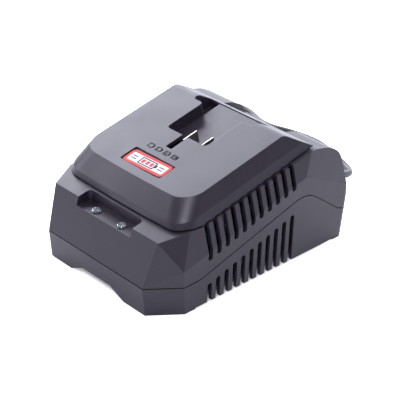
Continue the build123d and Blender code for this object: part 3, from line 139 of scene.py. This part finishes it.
def moulded_grain():
    """Spark eroded plastic: fine noise for the grain, slow noise for flow marks, painted edge
    highlights.

    The painted highlight lies where the normal of a rounded edge leaves that of the face: a mask that
    rises from 0 as their dot product falls from 1, made patchy by the flow noise.
    """
    inputs = (
        ("Plastic colour", "NodeSocketColor", (0.05, 0.05, 0.055, 1)),
        ("Grain per metre", "NodeSocketFloat", 2400.0),
        ("Grain depth", "NodeSocketFloat", 0.00003),
        ("Surface roughness", "NodeSocketFloat", 0.5),
        ("Edge radius", "NodeSocketFloat", 0.0006),
        ("Edge highlight", "NodeSocketFloat", 0.35),
    )
    tree, given, out = new_effect("moulded_grain", inputs, surface_outputs)
    where = object_place(tree)
    grain = noise(tree, where, given["Grain per metre"], detail=2.0, roughness=0.6)
    flow = noise(tree, where, 45.0, detail=3.0, distortion=0.8)
    bevel = add_node(tree, "ShaderNodeBevel", {"Radius": given["Edge radius"]}, samples=6)
    rounded = bevel.outputs["Normal"]
    facing = add_node(tree, "ShaderNodeNewGeometry").outputs["Normal"]
    # painted edge highlight: this mask is 1 where a rounded edge turns away from the face
    rubbed = respan(tree, vector_step(tree, "DOT_PRODUCT", rounded, facing), edge_highlight_span)
    patchy = arithmetic(tree, "MULTIPLY", rubbed, flow)
    highlight = arithmetic(tree, "MULTIPLY", patchy, given["Edge highlight"])
    tone = respan(tree, flow, noise_span, (0.94, 1.06))
    speckle = respan(tree, grain, noise_span, (0.9, 1.12))
    toned = add_node(
        tree,
        "ShaderNodeVectorMath",
        {0: given["Plastic colour"], "Scale": arithmetic(tree, "MULTIPLY", tone, speckle)},
        operation="SCALE",
    )
    gloss_change = respan(tree, flow, noise_span, (-0.04, 0.04))
    uneven = arithmetic(tree, "ADD", given["Surface roughness"], gloss_change)
    send(
        tree,
        out,
        colour=blended(tree, highlight, toned.outputs["Vector"], edge_highlight_colour),
        roughness=arithmetic(tree, "MULTIPLY_ADD", highlight, -edge_highlight_gloss, uneven),
        normal=relief(tree, grain, 0.6, given["Grain depth"], normal=rounded),
    )
    return tree


grain_effect = moulded_grain()


def new_material(name, **shader):
    """A material with a Principled shader, its plain numbers set on the shader's own sockets."""
    material = bpy.data.materials.new(name)
    material.use_nodes = True
    body = material.node_tree.nodes["Principled BSDF"]
    for socket, value in shader.items():
        body.inputs[socket.replace("_", " ")].default_value = value
    return material, material.node_tree, body


def wire(tree, body, **results):
    """Join results that change over the surface to the shader's own sockets."""
    for name, value in results.items():
        tree.links.new(value, body.inputs[name.replace("_", " ").title()])


def place_effect(tree, effect, **values):
    """A node group in a material, with its own values by the names of its sockets."""
    placed = tree.nodes.new("ShaderNodeGroup")
    placed.node_tree = effect
    for name, value in values.items():
        placed.inputs[name.replace("_", " ").capitalize()].default_value = value
    return placed


def finish(name, effect, values, **shader):
    """A material that takes its colour, roughness and normal from one effect."""
    material, tree, body = new_material(name, **shader)
    surface = place_effect(tree, effect, **values).outputs
    wire(
        tree,
        body,
        base_color=surface["Colour"],
        roughness=surface["Roughness"],
        normal=surface["Normal"],
    )
    return material


def moulded_plastic(name, colour, roughness, depth=0.00003, per_metre=2400.0, radius=0.0006, highlight=0.35):
    """A moulded plastic: the grain effect with this piece's colour, gloss, grain and painted edge
    highlight.
    """
    values = {
        "plastic_colour": (*colour, 1),
        "grain_per_metre": per_metre,
        "grain_depth": depth,
        "surface_roughness": roughness,
        "edge_radius": radius,
        "edge_highlight": highlight,
    }
    return finish(name, grain_effect, values, IOR=1.5)


def dress(material, *names):
    """Give CAD pieces their finish, in each of their material slots."""
    for name in names:
        for material_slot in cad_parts[name].material_slots:
            material_slot.material = material


housing_plastic = moulded_plastic("housing_plastic", housing_colour, 0.44, radius=0.0004, highlight=0.12)
dress(housing_plastic, "lower_housing", "upper_housing")

# ---- battery dock --------------------------------------------------------------------------------
# A third moulding, screwed on the deck. Its table is a shade cooler and finer than the case,
# because the battery slides on it and its mould is kept smoother.
dock_colour = (0.0185, 0.0142, 0.0245)
dock_plastic = moulded_plastic("dock_plastic", dock_colour, 0.42, depth=0.00002, radius=0.0005, highlight=0.12)
dress(dock_plastic, "battery_dock")

# ---- name plate ----------------------------------------------------------------------------------
# A blank film label, stuck a little askew in its recess: a white field in a coral frame, with a
# plain battery sign between plain rules printed where a maker would put a name.
plate_tilt = math.radians(12.5)
plate_turn = math.radians(2.2)
plate_half_width = 0.0173
plate_half_length = 0.0058
plate_cut = 0.0017
frame_line = 0.0021
frame_blur = 0.00005
ink_blur = 0.00004
print_red = (0.52, 0.055, 0.045, 1)
print_grey = (0.02, 0.02, 0.03, 1)
film_white = (0.66, 0.66, 0.68, 1)
film_shade = (0.62, 0.62, 0.64, 1)

sign_body = (0.0066, 0.0032)
sign_inside = (0.0056, 0.0023)
sign_nub = (0.0008, 0.0014)
sign_nub_x = 0.0072
charge_bar = (0.0013, 0.0017)
charge_pitch = 0.0036
rule_bar = (0.0022, 0.0004)
rule_x = 0.0115
rule_y = 0.0011


def larger_side(tree, vector):
    """The larger of a vector's X and Y."""
    parts = add_node(tree, "ShaderNodeSeparateXYZ", {"Vector": vector}).outputs
    return arithmetic(tree, "MAXIMUM", parts["X"], parts["Y"])


def printed_bar():
    """A printed rectangle: 1 where the larger of |x - cx| - w and |y - cy| - h is below 0."""
    inputs = (
        ("Place", "NodeSocketVector", (0, 0, 0)),
        ("Centre", "NodeSocketVector", (0, 0, 0)),
        ("Half size", "NodeSocketVector", (0.001, 0.001, 1)),
    )
    tree, given, out = new_effect("printed_bar", inputs, (("Ink", "NodeSocketFloat"),))
    away = vector_step(tree, "SUBTRACT", given["Place"], given["Centre"])
    size = vector_step(tree, "ABSOLUTE", away)
    over = vector_step(tree, "SUBTRACT", size, given["Half size"])
    send(tree, out, ink=respan(tree, larger_side(tree, over), (ink_blur, -ink_blur)))
    return tree


bar_effect = printed_bar()
label_film, label_tree, label_body = new_material("label_film", Roughness=0.6, IOR=1.3)
plate_low, plate_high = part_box("name_plate")
plate_askew = (-plate_tilt, 0, -plate_turn)
plate_mapping = add_node(
    label_tree,
    "ShaderNodeMapping",
    {
        "Vector": object_place(label_tree),
        "Location": -(Euler(plate_askew).to_matrix() @ ((plate_low + plate_high) / 2)),
        "Rotation": plate_askew,
    },
)
plate_place = plate_mapping.outputs["Vector"]


def plate_bar(centre, half_size):
    """One printed bar on the label, by its centre and half size on the film."""
    bar = place_effect(label_tree, bar_effect, centre=(*centre, 0), half_size=(*half_size, 1))
    label_tree.links.new(plate_place, bar.inputs["Place"])
    return bar.outputs["Ink"]


def plate_frame():
    """The frame: ink where the film's edge, or its cut corner, is nearer than the line's width.

    The cut corner is the line x + y = half width + half length - cut, and a point's distance
    from it is what it lacks of that sum, over the root of 2.
    """
    size = vector_step(label_tree, "ABSOLUTE", plate_place)
    across = add_node(label_tree, "ShaderNodeSeparateXYZ", {"Vector": size}).outputs
    from_side = arithmetic(label_tree, "SUBTRACT", plate_half_width, across["X"])
    from_end = arithmetic(label_tree, "SUBTRACT", plate_half_length, across["Y"])
    total = arithmetic(label_tree, "ADD", across["X"], across["Y"])
    corner_reach = (plate_half_width + plate_half_length - plate_cut) * math.sqrt(0.5)
    from_corner = arithmetic(label_tree, "MULTIPLY_ADD", total, -math.sqrt(0.5), corner_reach)
    nearest = arithmetic(label_tree, "MINIMUM", from_side, from_end)
    nearest = arithmetic(label_tree, "MINIMUM", nearest, from_corner)
    return respan(label_tree, nearest, (frame_line + frame_blur, frame_line - frame_blur))


ink_layers = [
    ((0, 0), sign_body, print_grey),
    ((sign_nub_x, 0), sign_nub, print_grey),
    ((0, 0), sign_inside, film_white),
]
ink_layers += [((charge_pitch * bar, 0), charge_bar, print_red) for bar in (-1, 0, 1)]
for side in (-1, 1):
    ink_layers += [((side * rule_x, rule_y * row), rule_bar, print_grey) for row in (-1, 1)]
film_noise = noise(label_tree, plate_place, 900.0, detail=3.0)
film_colour = blended(label_tree, film_noise, film_white, film_shade)
film_colour = blended(label_tree, plate_frame(), film_colour, print_red)
for centre, half_size, colour in ink_layers:
    film_colour = blended(label_tree, plate_bar(centre, half_size), film_colour, colour)
film_relief = relief(label_tree, film_noise, 0.2, 0.00002)
wire(label_tree, label_body, base_color=film_colour, normal=film_relief)
dress(label_film, "name_plate")

# ---- contact blades, screws, clips and plug pins -------------------------------------------------
# Stamped or headed metal. The blades are nickel plated brass, the screws dark zinc plated steel,
# the plug's pins plain brass; all carry fine rubbing marks from the tools and from use.
tarnish_colour = (0.16, 0.12, 0.09, 1)
marks_per_metre = (300, 2600, 2600)
stains_per_metre = 260.0


def rubbed_metal():
    """Fine rubbing marks: noise drawn out along X, for the roughness and a slight relief."""
    inputs = (
        ("Metal colour", "NodeSocketColor", (0.8, 0.8, 0.8, 1)),
        ("Surface roughness", "NodeSocketFloat", 0.25),
        ("Tarnish", "NodeSocketFloat", 0.2),
    )
    tree, given, out = new_effect("rubbed_metal", inputs, surface_outputs)
    where = object_place(tree)
    drawn = add_node(tree, "ShaderNodeMapping", {"Vector": where, "Scale": marks_per_metre})
    marks = noise(tree, drawn.outputs["Vector"], 1.0, detail=3.0)
    stain = noise(tree, where, stains_per_metre, detail=4.0)
    dull = arithmetic(tree, "MULTIPLY", stain, given["Tarnish"])
    marked = respan(tree, marks, noise_span, (-0.07, 0.1))
    send(
        tree,
        out,
        colour=blended(tree, dull, given["Metal colour"], tarnish_colour),
        roughness=arithmetic(tree, "ADD", given["Surface roughness"], marked),
        normal=relief(tree, marks, 0.25, 0.00001),
    )
    return tree


metal_effect = rubbed_metal()


def metal(name, colour, roughness, tarnish=0.2):
    """A bare or plated metal with its colour, gloss and tarnish."""
    values = {"metal_colour": (*colour, 1), "surface_roughness": roughness, "tarnish": tarnish}
    return finish(name, metal_effect, values, Metallic=1.0)


dress(metal("blade_metal", (0.42, 0.39, 0.36), 0.34), "contact_blades")
dress(metal("clip_metal", (0.75, 0.74, 0.7), 0.3), "fuse_clips")
dress(metal("pin_brass", (0.8, 0.66, 0.38), 0.26, 0.3), "plug_pins")
screw_steel = metal("screw_steel", (0.3, 0.3, 0.31), 0.38, 0.4)
dress(screw_steel, "case_screws", "board_screws", "dock_screws", "clamp_screws")
dress(metal("sink_aluminium", (0.78, 0.78, 0.79), 0.42, 0.1), "heat_sink")
dress(metal("copper_wire", (0.75, 0.3, 0.12), 0.3), "choke_windings", "fan_stator")

# ---- status lamps --------------------------------------------------------------------------------
# Two clear domes pushed up through the panel from inside, each in a dark bezel ring, over the
# small board that carries their diodes. Moulding leaves a slight haze on the domes.
lamp_clear, lamp_tree, lamp_body = new_material(
    "lamp_clear", Transmission_Weight=0.85, IOR=1.46, Base_Color=(0.66, 0.7, 0.76, 1), Coat_Weight=0.6
)
lamp_haze = noise(lamp_tree, object_place(lamp_tree), 700.0, detail=2.0)
wire(
    lamp_tree,
    lamp_body,
    roughness=respan(lamp_tree, lamp_haze, noise_span, (0.04, 0.12)),
    normal=relief(lamp_tree, lamp_haze, 0.15, 0.00002),
)
dress(lamp_clear, "lamp_lenses")
dress(moulded_plastic("bezel_plastic", (0.012, 0.012, 0.013), 0.35, radius=0.0002), "lamp_bezels")
dress(moulded_plastic("diode_resin", (0.7, 0.66, 0.45), 0.3, radius=0.0002, highlight=0.0), "lamp_diodes")

# ---- circuit board, terminal block and the parts between them ------------------------------------
# What shows through the cooling slots: a green laminate with its solder-masked tracks, wound and
# potted parts in their usual colours, and black moulded blocks.
board_laminate, board_tree, board_body = new_material(
    "board_laminate", Roughness=0.4, IOR=1.5, Coat_Weight=0.3
)
board_tracks = add_node(
    board_tree,
    "ShaderNodeTexBrick",
    {
        "Vector": object_place(board_tree),
        "Scale": 90.0,
        "Color1": (0.02, 0.13, 0.05, 1),
        "Color2": (0.03, 0.17, 0.06, 1),
        "Mortar": (0.05, 0.24, 0.09, 1),
        "Mortar Size": 0.03,
    },
)
board_relief = relief(board_tree, board_tracks.outputs["Fac"], 0.3, 0.00004)
wire(board_tree, board_body, base_color=board_tracks.outputs["Color"], normal=board_relief)
dress(board_laminate, "circuit_board", "lamp_board")

ferrite = moulded_plastic("ferrite", (0.03, 0.03, 0.034), 0.6, depth=0.00006, radius=0.0003)
dress(ferrite, "transformer_core")
block_plastic = moulded_plastic("block_plastic", (0.03, 0.03, 0.032), 0.55, radius=0.0003)
dress(block_plastic, "terminal_block", "cord_clamp")
lead_jacket = moulded_plastic("lead_jacket", (0.4, 0.03, 0.02), 0.4, radius=0.0002)
dress(lead_jacket, "contact_leads", "inner_conductors")
winding_tape = moulded_plastic("winding_tape", (0.62, 0.45, 0.04), 0.35, radius=0.0004)
dress(winding_tape, "transformer_winding")
capacitor_sleeve = moulded_plastic("capacitor_sleeve", (0.015, 0.017, 0.04), 0.28, radius=0.0003)
dress(capacitor_sleeve, "bulk_capacitor", "output_capacitors")
choke_ring = moulded_plastic("choke_ring", (0.05, 0.16, 0.08), 0.5, radius=0.0003)
dress(choke_ring, "choke_core")
package_resin = moulded_plastic("package_resin", (0.018, 0.018, 0.018), 0.5, radius=0.0002)
dress(package_resin, "power_transistors", "rectifier", "control_chip")

fuse_glass, fuse_tree, fuse_body = new_material(
    "fuse_glass", Transmission_Weight=0.9, IOR=1.5, Base_Color=(0.9, 0.92, 0.9, 1)
)
fuse_haze = noise(fuse_tree, object_place(fuse_tree), 400.0)
wire(fuse_tree, fuse_body, roughness=respan(fuse_tree, fuse_haze, (0.0, 1.0), (0.02, 0.16)))
dress(fuse_glass, "fuse")

# ---- cooling fan ---------------------------------------------------------------------------------
# A 40 mm axial fan in black glass-filled nylon, glossier than the case, standing in its cradle
# behind the slots of the right wall. Its rotor turns freely.
fan_plastic = moulded_plastic("fan_plastic", (0.02, 0.02, 0.021), 0.38, radius=0.0003)
dress(fan_plastic, "fan_frame", "fan_rotor")

# ---- rubber feet ---------------------------------------------------------------------------------
# Four pressed rubber discs, one under each corner of the case. They are matt, with a coarser
# grain than the plastic and a faint painted highlight on their edges.
foot_rubber = moulded_plastic("foot_rubber", (0.025, 0.025, 0.026), 0.75, per_metre=1500.0, highlight=0.2)
dress(foot_rubber, "rubber_feet")

# ---- mains cord, strain relief, tie and plug -----------------------------------------------------
# A black two-core cord in a PVC jacket. It leaves the rear wall through a ribbed strain relief, runs
# loosely behind the case, and its spare length is folded into a tied hank that ends in the plug.
cord_colour = (0.018, 0.018, 0.02)
cord_rubber = moulded_plastic("cord_rubber", cord_colour, 0.42, depth=0.00002, radius=0.0003, highlight=0.15)
dress(cord_rubber, "strain_relief", "inner_lead", "plug_body")
dress(moulded_plastic("tie_plastic", (0.02, 0.02, 0.02), 0.4, radius=0.0003), "cord_tie")

# the route's points have X, distance behind the line of the case's front, and Z
cord_diameter = 0.005
front_line_y = -0.0771887
cord_exit = (0.018, 0.18233, 0.014)
loose_route = (
    cord_exit,
    (0.0183, 0.2005, 0.0102),
    (0.009, 0.217, 0.0029),
    (-0.012, 0.2245, 0.0026),
    (-0.034, 0.2323, 0.0026),
    (-0.058, 0.2302, 0.0026),
    (-0.084, 0.2215, 0.0026),
    (-0.111, 0.2328, 0.0026),
    (-0.1385, 0.2235, 0.0026),
    (-0.1555, 0.2, 0.0026),
    (-0.148, 0.1725, 0.0026),
    (-0.122, 0.1645, 0.0028),
)
tail_route = (
    (-0.066, 0.1632, 0.0052),
    (-0.056, 0.1664, 0.003),
    (-0.0465, 0.1703, 0.0039),
    (-0.036, 0.1734, 0.0075),
)

# the hank lies in three rows, and each strand has the radius of its bends and its row
hank_middle = (-0.098, 0.188)
hank_half_straight = 0.02
bend_step = 30
steps_per_turn = 16
steps_per_strand = 14
strand_rows = (0.0033, 0.00763, 0.01196)
strands = (
    (0.0225, 0),
    (0.0175, 0),
    (0.015, 1),
    (0.02, 1),
    (0.0175, 2),
    (0.0225, 2),
    (0.025, 1),
)


def hank_points():
    """Control points of the hank, with X, distance behind the front, and Z.

    A turn is a stadium: in each half, one point amid the straight side and seven round the bend,
    30 degrees apart. Points inside a bend stand 1 / cos(15 degrees) further out, because the spline
    cuts inside them. Every strand lasts two steps less than a turn, so that the cord moves over to
    the next strand's place where no other strand lies.
    """
    steps_per_half = steps_per_turn // 2
    steps = np.arange(len(strands) * steps_per_strand)
    radius, row = np.array(strands)[steps // steps_per_strand].T
    half, step = np.divmod(steps % steps_per_turn, steps_per_half)
    turned = np.radians(-90 + 180 * half + bend_step * np.maximum(step - 1, 0))
    side = np.where(step == 0, 0, 1 - 2 * half)
    inside_bend = (step > 1) & (step < steps_per_half - 1)
    reach = np.where(inside_bend, radius / math.cos(math.radians(bend_step / 2)), radius)
    x = hank_middle[0] + side * hank_half_straight + reach * np.cos(turned)
    y = hank_middle[1] + reach * np.sin(turned)
    return np.column_stack((x, y, np.array(strand_rows)[row.astype(int)]))


cord_points = np.vstack((loose_route, hank_points(), tail_route)) + (0, front_line_y, 0)
cord_curve = bpy.data.curves.new("mains_cord_line", "CURVE")
cord_curve.dimensions = "3D"
cord_curve.resolution_u = 8
cord_curve.bevel_depth = cord_diameter / 2
cord_curve.bevel_resolution = 5
cord_curve.use_fill_caps = True
cord_spline = cord_curve.splines.new("NURBS")
cord_spline.points.add(len(cord_points) - 1)
cord_weights = np.ones(len(cord_points))
cord_spline.points.foreach_set("co", np.column_stack((cord_points, cord_weights)).ravel())
cord_spline.order_u = 3
cord_spline.use_endpoint_u = True
cord = bpy.data.objects.new("mains_cord_and_hank", cord_curve)
bpy.context.scene.collection.objects.link(cord)
cord.data.materials.append(cord_rubber)
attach(cord, "charger")
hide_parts("mains_cord", "cord_hank", "cord_tail")

# ---- studio --------------------------------------------------------------------------------------
# A pale floor that glows like a light table, with a painted shadow under the case; large softboxes to
# the left, above and behind, two small ones in front, and a camera on a long lens that looks at the
# front right corner.
floor_half = 3.0
floor_mesh = bpy.data.meshes.new("floor")
floor_corners = [(-floor_half, -floor_half, 0), (floor_half, -floor_half, 0)]
floor_corners += [(floor_half, floor_half, 0), (-floor_half, floor_half, 0)]
floor_mesh.from_pydata(floor_corners, [], [(0, 1, 2, 3)])
floor = bpy.data.objects.new("floor", floor_mesh)
bpy.context.scene.collection.objects.link(floor)
floor_paper, floor_tree, floor_body = new_material(
    "floor_paper", Roughness=0.8, Emission_Color=(0.96, 0.97, 1.0, 1)
)
floor_place = object_place(floor_tree)
paper_cloud = noise(floor_tree, floor_place, 3.0)
paper_colour = blended(floor_tree, paper_cloud, (0.93, 0.93, 0.93, 1), (0.95, 0.95, 0.95, 1))

# painted shadow: the floor's glow is left out under the case, in a rectangle with cut corners and a soft
# edge, so the floor is dark there; beyond it the floor glows
painted_shadow_half_size = (0.052, 0.068, 0)
painted_shadow_corner_reach = 0.0745
painted_shadow_fade = 0.012
glow_span = (0.13, 0.9)
towards_corner = (math.sqrt(0.5), math.sqrt(0.5), 0)
floor_aside = vector_step(floor_tree, "ABSOLUTE", floor_place)
past_sides = larger_side(floor_tree, vector_step(floor_tree, "SUBTRACT", floor_aside, painted_shadow_half_size))
out_to_corner = vector_step(floor_tree, "DOT_PRODUCT", floor_aside, towards_corner)
past_corner = arithmetic(floor_tree, "SUBTRACT", out_to_corner, painted_shadow_corner_reach)
past_painted_shadow = arithmetic(floor_tree, "MAXIMUM", past_sides, past_corner)
outside_painted_shadow = respan(floor_tree, past_painted_shadow, (0.0, painted_shadow_fade))
seen_directly = add_node(floor_tree, "ShaderNodeLightPath").outputs["Is Camera Ray"]
glow = arithmetic(floor_tree, "MULTIPLY", outside_painted_shadow, respan(floor_tree, seen_directly, (0.0, 1.0), glow_span))
wire(floor_tree, floor_body, base_color=paper_colour, emission_strength=glow)
floor_mesh.materials.append(floor_paper)

# the room is dim for everything but the camera, which sees it white
room_colour = (0.86, 0.86, 1.0, 1)
room_strength = 0.3
white_strength = 1.2
world = bpy.data.worlds.new("studio")
world.use_nodes = True
world_tree = world.node_tree
room = world_tree.nodes["Background"]
room.inputs["Color"].default_value = room_colour
room.inputs["Strength"].default_value = room_strength
white = add_node(world_tree, "ShaderNodeBackground", {"Color": (1, 1, 1, 1), "Strength": white_strength})
ray = add_node(world_tree, "ShaderNodeLightPath")
backdrop = add_node(
    world_tree,
    "ShaderNodeMixShader",
    {"Fac": ray.outputs["Is Camera Ray"], 1: room.outputs["Background"], 2: white.outputs["Background"]},
)
world_tree.links.new(backdrop.outputs["Shader"], world_tree.nodes["World Output"].inputs["Surface"])
bpy.context.scene.world = world
bpy.context.scene.view_settings.view_transform = "Standard"

light_colour = (0.87, 0.88, 1.0)


def turn_towards(item, place, aim):
    """Put a light or a camera at a place and turn it to look at its aim."""
    item.location = place
    item.rotation_euler = (Vector(aim) - Vector(place)).to_track_quat("-Z", "Y").to_euler()
    bpy.context.scene.collection.objects.link(item)


def softbox(name, place, size, watts, aim=(0, 0, 0.04)):
    """A square area light at a place, aimed at the object."""
    data = bpy.data.lights.new(name, "AREA")
    data.shape = "SQUARE"
    data.size = size
    data.energy = watts
    data.color = light_colour
    turn_towards(bpy.data.objects.new(name, data), place, aim)


softbox("key", (-1.2, 0.42, 0.72), 1.0, 27.0)
softbox("overhead", (-0.1, 1.0, 1.5), 1.2, 14.0)
softbox("back", (-0.9, 1.5, 0.5), 1.4, 18.0)
softbox("backdrop", (0.2, 1.4, 0.9), 1.0, 18.0, (0.1, 0.8, 0))
softbox("fill", (-0.5, -0.3, 0.36), 0.3, 1.9, (-0.05, -0.06, 0.06))
softbox("spark", (0.36, -0.52, 0.72), 0.17, 4.2, (0.05, -0.05, 0.06))

view_azimuth = math.radians(47.9)
view_elevation = math.radians(29.73)
view_distance = 0.9408
view_target = Vector((-0.03535, 0.03897, 0))
camera_data = bpy.data.cameras.new("camera")
camera_data.lens = 126.2
camera_data.sensor_width = 36.0
camera = bpy.data.objects.new("camera", camera_data)
view_direction = Vector(
    (
        math.sin(view_azimuth) * math.cos(view_elevation),
        -math.cos(view_azimuth) * math.cos(view_elevation),
        math.sin(view_elevation),
    )
)
turn_towards(camera, view_target + view_direction * view_distance, view_target)
bpy.context.scene.camera = camera
